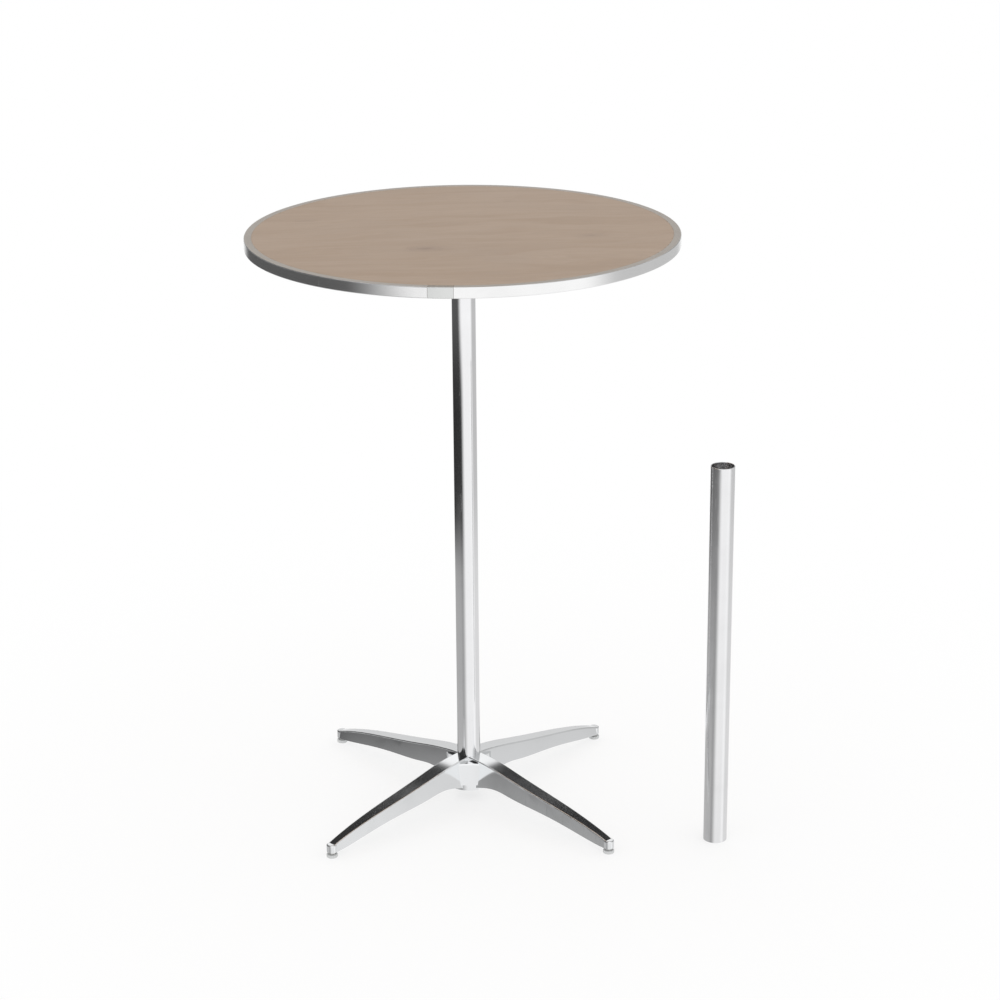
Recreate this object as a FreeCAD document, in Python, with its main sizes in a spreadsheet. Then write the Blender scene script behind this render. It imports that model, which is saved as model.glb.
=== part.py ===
# Tall cocktail table: round plywood top in a metal edge band, one chrome column, a cast base
# with four legs, and the short column that turns it into a low table, standing beside it.
# Millimetres, +Z up, origin on the floor under the column's axis, front towards -Y.
import FreeCAD, Part
import math
import os
import re

import Sketcher

FULL_TURN = 360
HALF_TURN = 180
QUARTER_TURN = 90

# Driving dimensions, as the sheet holds them. Names ending in bearing or slope are degrees.
SIZES = {
    # Round top
    "top_diameter": "762",
    "top_thickness": "19.05",
    # Metal edge band: one long strip, closed by a short infill piece at the front
    "band_wall": "1.6",
    "band_lip": "13",
    "band_round": "1.2",
    "band_fit": "0.2",
    "band_seam": "0.5",
    "infill_length": "42",
    "infill_bearing": "264.2",
    # Countersunk screws that hold the band's lower lip
    "band_screw_head_radius": "2.9",
    "band_screw_radius": "1.5",
    "band_screw_length": "12",
    # Steel plate under the top, its pan-head screws, stud and collar
    "plate_side": "200",
    "plate_thickness": "4",
    "plate_corner": "20",
    "plate_screw_circle": "85",
    "plate_screw_radius": "2.4",
    "plate_screw_head_radius": "4.6",
    "plate_screw_head_height": "3",
    "plate_screw_head_round": "1.6",
    "plate_screw_depth": "13",
    "collar_wall": "3",
    "collar_depth": "38",
    # Columns: tubes with reamed ends and a threaded plug behind each end
    "column_length": "1016",
    "short_column_length": "711.2",
    "column_radius": "21.2",
    "column_wall": "1.8",
    "column_end_wall": "1.45",
    "column_edge": "0.4",
    "plug_recess": "30",
    "plug_thickness": "12",
    "thread_radius": "5",
    "stud_overrun": "4",
    "short_column_across": "443",
    "short_column_forward": "197",
    # Cast base: hub and four arched legs
    "hub_radius": "40.4",
    "hub_bottom": "27",
    "hub_top": "81.5",
    "crown_radius": "57",
    "crown_bottom": "38",
    "crown_rim": "80",
    "neck_radius": "25",
    "neck_top": "83",
    "neck_round": "0.8",
    "web_radius": "150",
    "web_distance": "190.6",
    "web_chamfer": "3",
    "hub_floor_underside": "36",
    "hub_floor_thickness": "6",
    "knob_recess_radius": "22",
    "leg_bearing": "45",
    "leg_reach": "350",
    "leg_root_top": "87",
    "leg_root_bottom": "39",
    "leg_root_width": "31",
    "leg_tip_top": "25",
    "leg_tip_bottom": "10.5",
    "leg_tip_width": "17",
    "leg_edge_round": "2.2",
    "leg_draft_slope": "3",
    "leg_wall": "4",
    "leg_roof": "6",
    "boss_radius": "9.5",
    # Clamp under the hub: washer, hand knob and the bolt moulded into it
    "washer_radius": "11",
    "washer_thickness": "2",
    "knob_radius": "18",
    "knob_height": "14",
    "knob_round": "3",
    "knob_floor": "3.5",
    "knob_scallop_radius": "6",
    "knob_scallop_depth": "3",
    "bolt_head_radius": "8",
    "bolt_head_height": "6",
    # Levelling glides
    "glide_radius": "10",
    "glide_height": "6",
    "glide_round": "1.5",
    "glide_hex_flats": "13",
    "glide_pin_radius": "3",
    "glide_pin_length": "3.6",
    "stem_radius": "4",
    "stem_depth": "9",
    # Clearances and the overrun of cuts
    "socket_fit": "0.15",
    "running_fit": "0.08",
    "fixed_fit": "0.05",
    "seat_gap": "0.1",
    "blind_gap": "0.6",
    "cut_overrun": "2",
}

# Sizes and heights worked out from the driving dimensions
DERIVED = {
    "top_radius": "top_diameter / 2",
    "plate_underside": "hub_floor + column_length",
    "top_underside": "plate_underside + plate_thickness",
    "table_height": "top_underside + top_thickness",
    "band_screw_circle": "top_radius - band_lip / 2",
    "band_gap_length": "infill_length + 2 * band_seam",
    "hub_floor": "hub_floor_underside + hub_floor_thickness",
    "socket_radius": "column_radius + socket_fit",
    "column_bore": "column_radius - column_end_wall",
    "plug_radius": "column_radius - column_wall - fixed_fit",
    "thread_bore": "thread_radius + running_fit",
    "thread_reach": "plug_recess + plug_thickness + stud_overrun",
    "washer_top": "hub_floor_underside - seat_gap",
    "knob_top": "washer_top - washer_thickness - seat_gap",
    "knob_bottom": "knob_top - knob_height",
    "bolt_head_bottom": "knob_bottom + knob_floor",
    "bolt_head_top": "bolt_head_bottom + bolt_head_height",
    "stem_bore": "stem_radius + running_fit",
    "hex_bottom": "glide_height + seat_gap",
    "hex_top": "leg_tip_bottom - seat_gap",
    "hex_corner": "glide_hex_flats / 2 / cos(30)",
}

# Leg sections from the hub out to the foot: distance along the reach, then how much of the
# root's height, underside and width is left over the tip's, all as shares.
LEG_SECTION_SHARES = (
    (0.04, 1.000, 0.60, 1.00),
    (0.11, 0.980, 0.76, 1.00),
    (0.18, 0.938, 1.00, 1.00),
    (0.34, 0.775, 0.97, 0.91),
    (0.57, 0.545, 0.72, 0.70),
    (0.80, 0.305, 0.33, 0.32),
    (1.00, 0.000, 0.00, 0.00),
)
# The hollow under each leg runs between these sections of the leg.
HOLLOW_SECTIONS = slice(2, 6)

LEGS = 4
BAND_SCREWS = 12
PLATE_SCREWS = 8
KNOB_SCALLOPS = 7
HEX_SIDES = 6

# Each foot's quarter turn from the leg at the back right
FEET = {"back_right": 0, "back_left": 1, "front_left": 2, "front_right": 3}


def formula(text):
    """Spell out a formula's names as cells of the sheet."""
    def spell(match):
        name = match.group(0)
        if name in DERIVED:
            return "(" + formula(DERIVED[name]) + ")"
        return "sizes." + name if name in SIZES else name
    return re.sub(r"[a-z_]+", spell, text)


def value(text):
    """Number that a formula comes to."""
    return float(sheet.evalExpression(formula(text)))


def bind(obj, path, text):
    """Tie one property of an object to a formula."""
    obj.setExpression(path, formula(text))


def make_sheet():
    """Sheet with one named cell for each driving dimension."""
    cells = doc.addObject("Spreadsheet::Sheet", "sizes")
    for row, (name, number) in enumerate(SIZES.items(), start=1):
        cells.set("A%d" % row, name)
        cells.set("B%d" % row, number)
        cells.setAlias("B%d" % row, name)
    doc.recompute()
    return cells


def new_body(label):
    """Empty body for one sub-part."""
    body = doc.addObject("PartDesign::Body", label)
    body.Label = label
    return body


def place(body, x="0", y="0", z="0", bearing="0"):
    """Stand a body at a point, turned about the vertical."""
    upright = FreeCAD.Rotation(FreeCAD.Vector(0, 0, 1), 1)
    body.Placement = FreeCAD.Placement(FreeCAD.Vector(), upright)
    for axis, text in (("x", x), ("y", y), ("z", z)):
        bind(body, "Placement.Base." + axis, text)
    bind(body, "Placement.Rotation.Angle", bearing)


def datum(body, role):
    """One of a body's own origin planes or axes."""
    return next(item for item in body.Origin.OriginFeatures if item.Role == role)


def corner(point):
    """Place of an outline's corner."""
    return FreeCAD.Vector(value(point[0]), value(point[1]), 0)


def rounded_edge(start, end, radius):
    """Arc from start to end, its centre on the left of the way from start to end."""
    chord = end - start
    left = FreeCAD.Vector(-chord.y, chord.x, 0).normalize()
    rise = math.sqrt(max(radius ** 2 - (chord.Length / 2) ** 2, 0))
    centre = (start + end) / 2 + left * rise
    circle = Part.Circle(centre, FreeCAD.Vector(0, 0, 1), radius)
    return Part.ArcOfCircle(circle, circle.parameter(start), circle.parameter(end))


def outline(body, role, points, level="0", bearing="0"):
    """Closed anticlockwise sketch; a third item of a point rounds the way to the next."""
    sketch = body.newObject("Sketcher::SketchObject", "outline")
    sketch.AttachmentSupport = [(datum(body, role), "")]
    sketch.MapMode = "FlatFace"
    turned = FreeCAD.Rotation(FreeCAD.Vector(0, 1, 0), 1)
    sketch.AttachmentOffset = FreeCAD.Placement(FreeCAD.Vector(), turned)
    bind(sketch, "AttachmentOffset.Rotation.Angle", bearing)
    bind(sketch, "AttachmentOffset.Base.z", level)
    corners = [corner(point) for point in points]
    for index, point in enumerate(points):
        start, end = corners[index], corners[(index + 1) % len(points)]
        if len(point) > 2:
            sketch.addGeometry(rounded_edge(start, end, value(point[2])))
        else:
            sketch.addGeometry(Part.LineSegment(start, end))
    for index, point in enumerate(points):
        following = (index + 1) % len(points)
        sketch.addConstraint(Sketcher.Constraint("Coincident", index, 2, following, 1))
        for kind, text in (("DistanceX", point[0]), ("DistanceY", point[1])):
            number = sketch.addConstraint(
                Sketcher.Constraint(kind, -1, 1, index, 1, value(text)))
            bind(sketch, "Constraints[%d]" % number, text)
        if len(point) > 2:
            number = sketch.addConstraint(Sketcher.Constraint("Radius", index, value(point[2])))
            bind(sketch, "Constraints[%d]" % number, point[2])
    return sketch


def add_axis(sketch, across, points):
    """Upright construction line that a sketch is turned about."""
    ends = [FreeCAD.Vector(value(across), value(point[1]), 0) for point in (points[0], points[-1])]
    line = sketch.addGeometry(Part.LineSegment(*ends), True)
    for end, point in ((1, points[0]), (2, points[-1])):
        for kind, text in (("DistanceX", across), ("DistanceY", point[1])):
            number = sketch.addConstraint(
                Sketcher.Constraint(kind, -1, 1, line, end, value(text)))
            bind(sketch, "Constraints[%d]" % number, text)
    return (sketch, ["Axis0"])


def turn(body, points, across=None, cut=False, angle=None, bearing="0"):
    """Turn an outline of (radius, height) points about an upright axis, to add or to cut."""
    if across:
        points = [("%s + %s" % (across, point[0]),) + point[1:] for point in points]
    sketch = outline(body, "XZ_Plane", points, bearing=bearing)
    feature = body.newObject("PartDesign::Groove" if cut else "PartDesign::Revolution", "turned")
    feature.Profile = sketch
    feature.ReferenceAxis = add_axis(sketch, across, points) if across else (sketch, ["V_Axis"])
    feature.Angle = FULL_TURN
    if angle:
        feature.Midplane = True
        bind(feature, "Angle", angle)
    return feature


def pad(body, points, level, height):
    """Raise an outline of (x, y) points from a level by a height."""
    feature = body.newObject("PartDesign::Pad", "raised")
    feature.Profile = outline(body, "XY_Plane", points, level)
    bind(feature, "Length", height)
    return feature


def polar(body, originals, count):
    """Repeat features evenly about the body's upright axis."""
    pattern = body.newObject("PartDesign::PolarPattern", "repeated")
    pattern.Originals = originals
    pattern.Axis = (datum(body, "Z_Axis"), [""])
    pattern.Angle = FULL_TURN
    pattern.Occurrences = count
    body.Tip = pattern
    return pattern


def turned_part(label, points, **where):
    """Sub-part that is one turned outline."""
    body = new_body(label)
    turn(body, points)
    place(body, **where)
    return body


def drill(radius, low, high):
    """Outline of a plain round hole."""
    return [("0", low), (radius, low), (radius, high), ("0", high)]


def ring(inner, outer, low, high):
    """Outline of a plain ring."""
    return [(inner, low), (outer, low), (outer, high), (inner, high)]


def band_screw_outline(gap):
    """Countersunk screw, or its hole when there is a gap around it."""
    head = "band_screw_head_radius + " + gap
    shank = "band_screw_radius + " + gap
    neck = "top_underside + band_screw_head_radius - band_screw_radius"
    tip = "top_underside + band_screw_length + " + gap
    return [("0", "top_underside"), (head, "top_underside"), (shank, neck),
            (shank, tip + " - band_screw_radius"), ("0", tip)]


def plate_screw_hole():
    """Hole for a plate screw, through the plate and into the top."""
    return drill("plate_screw_radius + fixed_fit", "plate_underside - cut_overrun",
                 "top_underside + plate_screw_depth + fixed_fit")


def make_top_panel():
    """Plywood disc, rebated for the band's lips, drilled for the screws below."""
    body = new_body("tabletop_panel")
    lip = "top_radius - band_lip - band_fit"
    rim = "top_radius - band_wall - band_fit"
    low = "top_underside + band_wall"
    high = "table_height - band_wall"
    turn(body, [("0", "top_underside"), (lip, "top_underside"), (lip, low), (rim, low),
                (rim, high), (lip, high), (lip, "table_height"), ("0", "table_height")])
    hole = turn(body, band_screw_outline("fixed_fit"), "band_screw_circle", cut=True)
    polar(body, [hole], BAND_SCREWS)
    hole = turn(body, plate_screw_hole(), "plate_screw_circle", cut=True)
    polar(body, [hole], PLATE_SCREWS)
    place(body, bearing="infill_bearing")
    return body


def make_band_piece(label, length, bearing, screws):
    """Stretch of the channel that wraps the edge, with its screw holes."""
    body = new_body(label)
    lip = "top_radius - band_lip"
    inner = "top_radius - band_wall"
    shoulder = "top_radius - band_round"
    turn(body, [(lip, "top_underside"), (shoulder, "top_underside", "band_round"),
                ("top_radius", "top_underside + band_round"),
                ("top_radius", "table_height - band_round", "band_round"),
                (shoulder, "table_height"), (lip, "table_height"),
                (lip, "table_height - band_wall"), (inner, "table_height - band_wall"),
                (inner, "top_underside + band_wall"), (lip, "top_underside + band_wall")],
         angle="(%s) / top_radius * %d / pi" % (length, HALF_TURN))
    hole = turn(body, band_screw_outline("fixed_fit"), "band_screw_circle", cut=True)
    if screws > 1:
        polar(body, [hole], screws)
    place(body, bearing=bearing)
    return body


def make_screws(label, points, circle, count):
    """Ring of like screws, each a solid of its own."""
    body = new_body(label)
    screw = turn(body, points, circle)
    polar(body, [screw], count)
    place(body, bearing="infill_bearing")
    return body


def plate_screw_outline():
    """Pan-head screw, head down."""
    low = "plate_underside - plate_screw_head_height"
    tip = "top_underside + plate_screw_depth"
    head, shank, eased = "plate_screw_head_radius", "plate_screw_radius", "plate_screw_head_round"
    return [("0", low), (head + " - " + eased, low, eased), (head, low + " + " + eased),
            (head, "plate_underside"), (shank, "plate_underside"),
            (shank, tip + " - " + shank), ("0", tip)]


def make_plate():
    """Square steel plate with rounded corners, screw holes and the stud's hole."""
    body = new_body("mounting_plate")
    side = "plate_side / 2"
    flat = "(plate_side / 2 - plate_corner)"
    points = [("-" + flat, "-" + side), (flat, "-" + side, "plate_corner"),
              (side, "-" + flat), (side, flat, "plate_corner"),
              (flat, side), ("-" + flat, side, "plate_corner"),
              ("-" + side, flat), ("-" + side, "-" + flat, "plate_corner")]
    pad(body, points, "plate_underside", "plate_thickness")
    hole = turn(body, plate_screw_hole(), "plate_screw_circle", cut=True)
    polar(body, [hole], PLATE_SCREWS)
    turn(body, drill("thread_radius + fixed_fit", "plate_underside - cut_overrun",
                     "top_underside + cut_overrun"), cut=True)
    place(body, bearing="infill_bearing")
    return body


def column_outline(length):
    """Tube with eased outer edges and reamed ends."""
    edge = "column_radius - column_edge"
    core = "column_radius - column_wall"
    far = length + " - plug_recess"
    return [("column_bore", "0"), (edge, "0"), ("column_radius", "column_edge"),
            ("column_radius", length + " - column_edge"), (edge, length), ("column_bore", length),
            ("column_bore", far), (core, far), (core, "plug_recess"), ("column_bore", "plug_recess")]


def make_column(label, length, **where):
    """Column tube and the two threaded plugs behind its ends."""
    parts = [turned_part(label + "_tube", column_outline(length), **where)]
    base = where.get("z", "0")
    lower = dict(where, z=base + " + plug_recess")
    upper = dict(where, z="%s + %s - plug_recess - plug_thickness" % (base, length))
    plug = ring("thread_bore", "plug_radius", "0", "plug_thickness")
    for name, spot in (("_lower_plug", lower), ("_upper_plug", upper)):
        parts.append(turned_part(label + name, plug, **spot))
    return parts


def leg_station(shares):
    """Distance, top, underside and width of one leg section."""
    reach, rise, lift, spread = shares
    return ("leg_reach * %g" % reach,
            "(leg_tip_top + (leg_root_top - leg_tip_top) * %g)" % rise,
            "(leg_tip_bottom + (leg_root_bottom - leg_tip_bottom) * %g)" % lift,
            "(leg_tip_width + (leg_root_width - leg_tip_width) * %g)" % spread)


def leg_section(body, shares):
    """Section across a leg: drafted sides and eased top edges."""
    reach, top, low, width = leg_station(shares)
    crest = "%s / 2 - leg_edge_round" % width
    shoulder = top + " - leg_edge_round"
    side = "%s / 2" % width
    foot = "%s / 2 + (%s - %s) * tan(leg_draft_slope)" % (width, top, low)
    points = [("-(%s)" % foot, low), (foot, low), (side, shoulder, "leg_edge_round"), (crest, top),
              ("-(%s)" % crest, top, "leg_edge_round"), ("-(%s)" % side, shoulder)]
    return outline(body, "YZ_Plane", points, reach)


def hollow_section(body, shares):
    """Section of the hollow under a leg."""
    reach, top, low, width = leg_station(shares)
    side = "%s / 2 - leg_wall" % width
    roof = top + " - leg_roof"
    floor = low + " - cut_overrun"
    points = [("-(%s)" % side, floor), (side, floor), (side, roof), ("-(%s)" % side, roof)]
    return outline(body, "YZ_Plane", points, reach)


def loft(body, kind, sections):
    """Skin a row of sections."""
    feature = body.newObject("PartDesign::" + kind, "skinned")
    feature.Profile = sections[0]
    feature.Sections = sections[1:]
    return feature


def make_base():
    """Cast hub with four arched legs, hollow below, and a boss for each glide."""
    body = new_body("base_casting")
    turn(body, [("0", "hub_bottom"), ("hub_radius", "hub_bottom"), ("hub_radius", "crown_bottom"),
                ("crown_radius", "crown_bottom"), ("crown_radius", "crown_rim"),
                ("neck_radius", "hub_top"), ("neck_radius", "neck_top - neck_round", "neck_round"),
                ("neck_radius - neck_round", "neck_top"), ("0", "neck_top")])
    web = turn(body, [("0", "hub_bottom - cut_overrun"), ("web_radius", "hub_bottom - cut_overrun"),
                      ("web_radius", "hub_top - web_chamfer"), ("web_radius + web_chamfer", "hub_top"),
                      ("web_radius + web_chamfer", "hub_top + cut_overrun"),
                      ("0", "hub_top + cut_overrun")],
               "web_distance", cut=True, bearing="leg_bearing")
    polar(body, [web], LEGS)
    leg = loft(body, "AdditiveLoft", [leg_section(body, shares) for shares in LEG_SECTION_SHARES])
    eased = "boss_radius - leg_edge_round"
    boss = turn(body, [("0", "leg_tip_bottom"), ("boss_radius", "leg_tip_bottom"),
                       ("boss_radius", "leg_tip_top - leg_edge_round", "leg_edge_round"),
                       (eased, "leg_tip_top"), ("0", "leg_tip_top")], "leg_reach")
    hollow = loft(body, "SubtractiveLoft",
                  [hollow_section(body, shares) for shares in LEG_SECTION_SHARES[HOLLOW_SECTIONS]])
    thread = turn(body, drill("stem_bore", "leg_tip_bottom - cut_overrun",
                              "leg_tip_bottom + stem_depth + blind_gap"), "leg_reach", cut=True)
    polar(body, [leg, boss, hollow, thread], LEGS)
    bolt = "thread_radius + socket_fit"
    turn(body, [("0", "hub_bottom - cut_overrun"), ("knob_recess_radius", "hub_bottom - cut_overrun"),
                ("knob_recess_radius", "hub_floor_underside"), (bolt, "hub_floor_underside"),
                (bolt, "hub_floor"), ("socket_radius", "hub_floor"),
                ("socket_radius", "leg_root_top + cut_overrun"),
                ("0", "leg_root_top + cut_overrun")], cut=True)
    place(body, bearing="leg_bearing")
    return body


def make_knob():
    """Scalloped hand knob, moulded around the bolt's head."""
    body = new_body("clamp_knob")
    low, high = "knob_bottom", "knob_top"
    inner = "knob_radius - knob_round"
    hole = "thread_radius + fixed_fit"
    pocket = "bolt_head_radius + fixed_fit"
    turn(body, [("0", low), (inner, low, "knob_round"), ("knob_radius", low + " + knob_round"),
                ("knob_radius", high + " - knob_round", "knob_round"), (inner, high), (hole, high),
                (hole, "bolt_head_top + fixed_fit"), (pocket, "bolt_head_top + fixed_fit"),
                (pocket, "bolt_head_bottom - fixed_fit"), ("0", "bolt_head_bottom - fixed_fit")])
    scallop = drill("knob_scallop_radius", low + " - cut_overrun", high + " + cut_overrun")
    scallop = turn(body, scallop, "(knob_radius + knob_scallop_radius - knob_scallop_depth)", cut=True)
    polar(body, [scallop], KNOB_SCALLOPS)
    place(body)
    return body


def make_stem(label, **where):
    """Threaded glide stem with a hexagon to turn it and a pin that holds the pad."""
    body = new_body(label)
    turns = ["%d" % (FULL_TURN / HEX_SIDES * side) for side in range(HEX_SIDES)]
    pad(body, [("hex_corner * cos(%s)" % way, "hex_corner * sin(%s)" % way) for way in turns],
        "hex_bottom", "hex_top - hex_bottom")
    turn(body, drill("stem_radius", "hex_bottom", "leg_tip_bottom + stem_depth"))
    turn(body, drill("glide_pin_radius", "hex_bottom - glide_pin_length", "hex_bottom"))
    place(body, **where)
    return body


def glide_outline():
    """Round foot pad with a blind hole for the stem's pin."""
    hole = "glide_pin_radius + running_fit"
    depth = "glide_height - glide_pin_length"
    inner = "glide_radius - glide_round"
    return [("0", "0"), (inner, "0", "glide_round"), ("glide_radius", "glide_round"),
            ("glide_radius", "glide_height - glide_round", "glide_round"), (inner, "glide_height"),
            (hole, "glide_height"), (hole, depth), ("0", depth)]


def make_glides():
    """Pad and stem under each leg."""
    parts = []
    for foot, quarter in FEET.items():
        bearing = "(leg_bearing + %d)" % (QUARTER_TURN * quarter)
        spot = {"x": "leg_reach * cos(%s)" % bearing, "y": "leg_reach * sin(%s)" % bearing}
        parts.append(turned_part("glide_pad_" + foot, glide_outline(), **spot))
        parts.append(make_stem("glide_stem_" + foot, **spot))
    return parts


def make_all():
    """Every sub-part of the table."""
    collar = ring("socket_radius", "socket_radius + collar_wall",
                  "plate_underside - collar_depth", "plate_underside")
    stud = drill("thread_radius", "plate_underside - thread_reach", "top_underside")
    washer = ring("thread_radius + socket_fit", "washer_radius",
                  "washer_top - washer_thickness", "washer_top")
    bolt = [("0", "bolt_head_bottom"), ("bolt_head_radius", "bolt_head_bottom"),
            ("bolt_head_radius", "bolt_head_top"), ("thread_radius", "bolt_head_top"),
            ("thread_radius", "hub_floor + thread_reach"), ("0", "hub_floor + thread_reach")]
    beside = {"x": "short_column_across", "y": "-short_column_forward"}
    return [
        make_top_panel(),
        make_band_piece("edge_band", "2 * pi * top_radius - band_gap_length",
                        "infill_bearing + %d" % HALF_TURN, BAND_SCREWS),
        make_band_piece("edge_band_infill", "infill_length", "infill_bearing", 1),
        make_screws("edge_band_screws", band_screw_outline("0"), "band_screw_circle", BAND_SCREWS),
        make_plate(),
        make_screws("plate_screws", plate_screw_outline(), "plate_screw_circle", PLATE_SCREWS),
        turned_part("plate_stud", stud),
        turned_part("column_collar", collar),
        *make_column("column", "column_length", z="hub_floor"),
        make_base(),
        turned_part("clamp_washer", washer),
        make_knob(),
        turned_part("clamp_bolt", bolt),
        *make_glides(),
        *make_column("short_column", "short_column_length", **beside),
    ]


def check(parts):
    """Stop unless every object was worked out and every sub-part is a sound solid."""
    for item in doc.Objects:
        if "Invalid" in item.State or "Error" in item.State:
            raise RuntimeError("%s could not be worked out" % item.Label)
    for part in parts:
        if part.Shape.isNull() or not part.Shape.isValid() or not part.Shape.Solids:
            raise RuntimeError("%s is not a sound solid" % part.Label)


doc = FreeCAD.newDocument("cocktail_table")
sheet = make_sheet()
pieces = make_all()
doc.recompute()
check(pieces)
os.makedirs("parts", exist_ok=True)
for piece in pieces:
    piece.Shape.exportStep(os.path.join("parts", piece.Label + ".step"))
    print(piece.Label, len(piece.Shape.Solids), "solids", round(piece.Shape.Volume), "mm3")
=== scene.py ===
import math

import bmesh
import bpy
from bpy.props import FloatProperty, FloatVectorProperty, IntProperty, PointerProperty
from mathutils import Matrix, Vector


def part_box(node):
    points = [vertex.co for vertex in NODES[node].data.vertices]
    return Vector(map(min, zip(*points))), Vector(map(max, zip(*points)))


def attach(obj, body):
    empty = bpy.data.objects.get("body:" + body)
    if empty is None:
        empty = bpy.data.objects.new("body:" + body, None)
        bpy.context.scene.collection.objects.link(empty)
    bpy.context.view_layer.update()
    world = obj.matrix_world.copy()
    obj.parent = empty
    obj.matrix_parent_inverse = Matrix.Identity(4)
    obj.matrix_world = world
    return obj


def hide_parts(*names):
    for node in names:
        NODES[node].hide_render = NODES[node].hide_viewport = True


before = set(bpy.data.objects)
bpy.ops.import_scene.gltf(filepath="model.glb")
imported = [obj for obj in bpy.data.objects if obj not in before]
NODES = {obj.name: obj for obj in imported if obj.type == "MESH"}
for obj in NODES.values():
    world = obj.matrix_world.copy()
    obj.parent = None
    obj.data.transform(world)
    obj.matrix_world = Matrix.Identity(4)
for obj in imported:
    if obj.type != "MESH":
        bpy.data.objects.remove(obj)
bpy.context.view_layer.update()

bl_info = {
    "name": "Tall Cocktail Table",
    "version": (1, 0, 0),
    "blender": (4, 5, 0),
    "location": "View3D > Sidebar > Table",
    "description": "Round wooden top in a metal band on a chrome column and a polished cross base",
    "category": "Object",
}

FEET = ("back_right", "back_left", "front_left", "front_right")
BAND_SCREWS = 12
PLATE_SCREWS = 8
MM = 0.001
MERGE_GAP = 0.01 * MM
SCREW_POINT = 0.2 * MM


def node_centre(node):
    """Middle of a node's box."""
    low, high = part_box(node)
    return (low + high) / 2


def node_radius(node):
    """Half the width of a round node."""
    low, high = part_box(node)
    return (high.x - low.x) / 2


def node_bearing(node):
    """Direction from the table's axis to the middle of a node."""
    corners = [corner.co for corner in NODES[node].data.vertices]
    return math.atan2(sum(c.y for c in corners), sum(c.x for c in corners))


# Modelling helpers

def clear():
    """Leave nothing selected."""
    if bpy.context.object and bpy.context.object.mode != "OBJECT":
        bpy.ops.object.mode_set(mode="OBJECT")
    bpy.ops.object.select_all(action="DESELECT")


def select_only(obj):
    """Select one object and make it the active one."""
    clear()
    obj.select_set(True)
    bpy.context.view_layer.objects.active = obj


def start_edit(kind="VERT"):
    """Open the active object's mesh with nothing selected."""
    bpy.ops.object.mode_set(mode="EDIT")
    bpy.ops.mesh.select_mode(type=kind)
    bpy.ops.mesh.select_all(action="DESELECT")


def end_edit():
    """Close the mesh."""
    bpy.ops.object.mode_set(mode="OBJECT")


def pick(kind, test):
    """Select the vertices, edges or faces of the open mesh that pass a test."""
    mesh = bmesh.from_edit_mesh(bpy.context.object.data)
    bpy.ops.mesh.select_all(action="DESELECT")
    for item in getattr(mesh, kind):
        if test(item):
            item.select_set(True)
    mesh.select_flush_mode()
    bmesh.update_edit_mesh(bpy.context.object.data)


def pick_all():
    """Select the whole open mesh."""
    bpy.ops.mesh.select_all(action="SELECT")


def merge_points():
    """Weld the open mesh where its points meet."""
    pick_all()
    bpy.ops.mesh.remove_doubles(threshold=MERGE_GAP)


def smooth(obj, degrees=35):
    """Round the shading except over sharp edges."""
    select_only(obj)
    bpy.ops.object.shade_smooth_by_angle(angle=math.radians(degrees))


def place_mesh(obj):
    """Put an object's place into its mesh."""
    select_only(obj)
    bpy.ops.object.transform_apply(location=True, rotation=True, scale=True)


def turned(name, section, sides, spot=(0, 0), closed=False):
    """Turn a section: a ring of edges is drawn along (radius, height) steps and its ends closed."""
    clear()
    radius, height = section[0]
    bpy.ops.mesh.primitive_circle_add(vertices=sides, radius=radius, location=(*spot, height))
    obj = bpy.context.object
    obj.name = name
    place_mesh(obj)
    steps = section[1:] + (section[:1] if closed else [])
    start_edit("EDGE")
    pick_all()
    for across, up in steps:
        bpy.ops.mesh.extrude_region_move(TRANSFORM_OT_translate={"value": (0, 0, up - height)})
        bpy.ops.transform.resize(value=(across / radius, across / radius, 1),
                                 center_override=(*spot, up))
        radius, height = across, up
    merge_points()
    if not closed:
        pick_all()
        bpy.ops.mesh.fill_holes(sides=0)
    merge_points()
    bpy.ops.mesh.normals_make_consistent(inside=False)
    end_edit()
    return obj


def combine(obj, tool, operation):
    """Cut one object out of another, or fuse the two, and drop the tool."""
    select_only(obj)
    change = obj.modifiers.new("change", "BOOLEAN")
    change.operation = operation
    change.solver = "EXACT"
    change.object = tool
    bpy.ops.object.modifier_apply(modifier=change.name)
    bpy.data.objects.remove(tool)


def copy_of(pattern):
    """Copy of an object, with a mesh of its own."""
    select_only(pattern)
    bpy.ops.object.duplicate()
    return bpy.context.object


def join(name, parts):
    """Make one object of several."""
    clear()
    for part in parts:
        part.select_set(True)
    bpy.context.view_layer.objects.active = parts[0]
    bpy.ops.object.join()
    bpy.context.object.name = name
    return bpy.context.object


def tube(name, node, size):
    """Round tube with eased ends and reamed mouths, in the place of a node."""
    low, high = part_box(node)
    spot = node_centre(node)
    outer, edge, recess = node_radius(node), size.tube_edge, size.tube_recess
    mouth = outer - size.tube_mouth_wall
    core = outer - size.tube_wall
    section = [
        (outer - edge, low.z), (outer, low.z + edge),
        (outer, high.z - edge), (outer - edge, high.z),
        (mouth + edge, high.z), (mouth, high.z - edge),
        (mouth, high.z - recess), (core, high.z - recess),
        (core, low.z + recess), (mouth, low.z + recess),
        (mouth, low.z + edge), (mouth + edge, low.z),
    ]
    obj = turned(name, section, size.tube_sides, (spot.x, spot.y), closed=True)
    smooth(obj)
    return obj


# Section of the weld in shares of its leg, out from the wall and down from the plate
WELD_SECTION = ((0, 1), (0.45, 0.85), (0.85, 0.45), (1, 0), (0, 0))
WELD_SIDES = 144
WELD_RIPPLE = 3
WELD_SWELL = 0.14


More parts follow.
